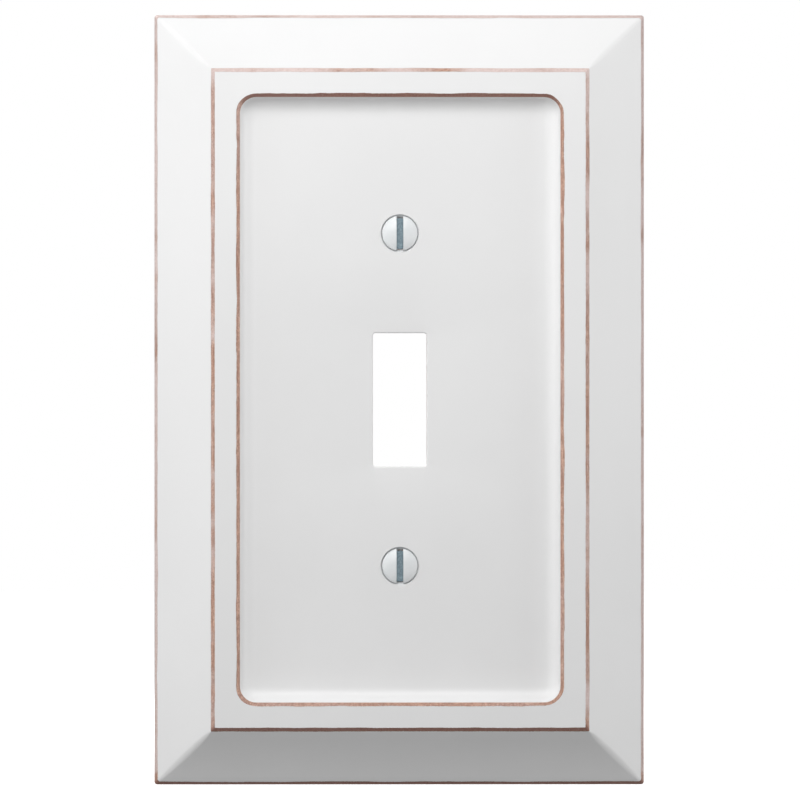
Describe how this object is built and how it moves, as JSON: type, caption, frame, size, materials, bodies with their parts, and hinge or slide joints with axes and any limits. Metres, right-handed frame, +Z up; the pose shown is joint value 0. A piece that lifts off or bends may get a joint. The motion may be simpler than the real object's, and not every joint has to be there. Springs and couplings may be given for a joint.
{
  "type": "toggle switch wall plate",
  "caption": "Bevelled wooden cover plate with a coved recess and a toggle opening, held to a wall switch by slotted oval-head screws.",
  "frame": {"origin": "in the wall plane, halfway between the two screws, which is also the middle of the plate's outline", "axes": "+Z up, the plate's front faces -Y, +X to the right as seen from the front"},
  "size_m": [0.0888, 0.0225, 0.1396],
  "materials": {
    "painted_wood": "satin white paint over wood, sanded through to brown wood along the edges",
    "screw_steel": "zinc-plated steel with a white painted head"
  },
  "bodies": {
    "plate": {"wall_plate": "painted_wood"},
    "upper_screw_body": {"upper_screw": "screw_steel"},
    "lower_screw_body": {"lower_screw": "screw_steel"}
  },
  "joints": [
    {"name": "upper_screw_turn", "type": "hinge", "parent": "plate", "child": "upper_screw_body", "pos_m": [0, -0.0075, 0.03016], "axis": [0, 1, 0], "continuous": true},
    {"name": "lower_screw_turn", "type": "hinge", "parent": "plate", "child": "lower_screw_body", "pos_m": [0, -0.0075, -0.03016], "axis": [0, 1, 0], "continuous": true}
  ]
}
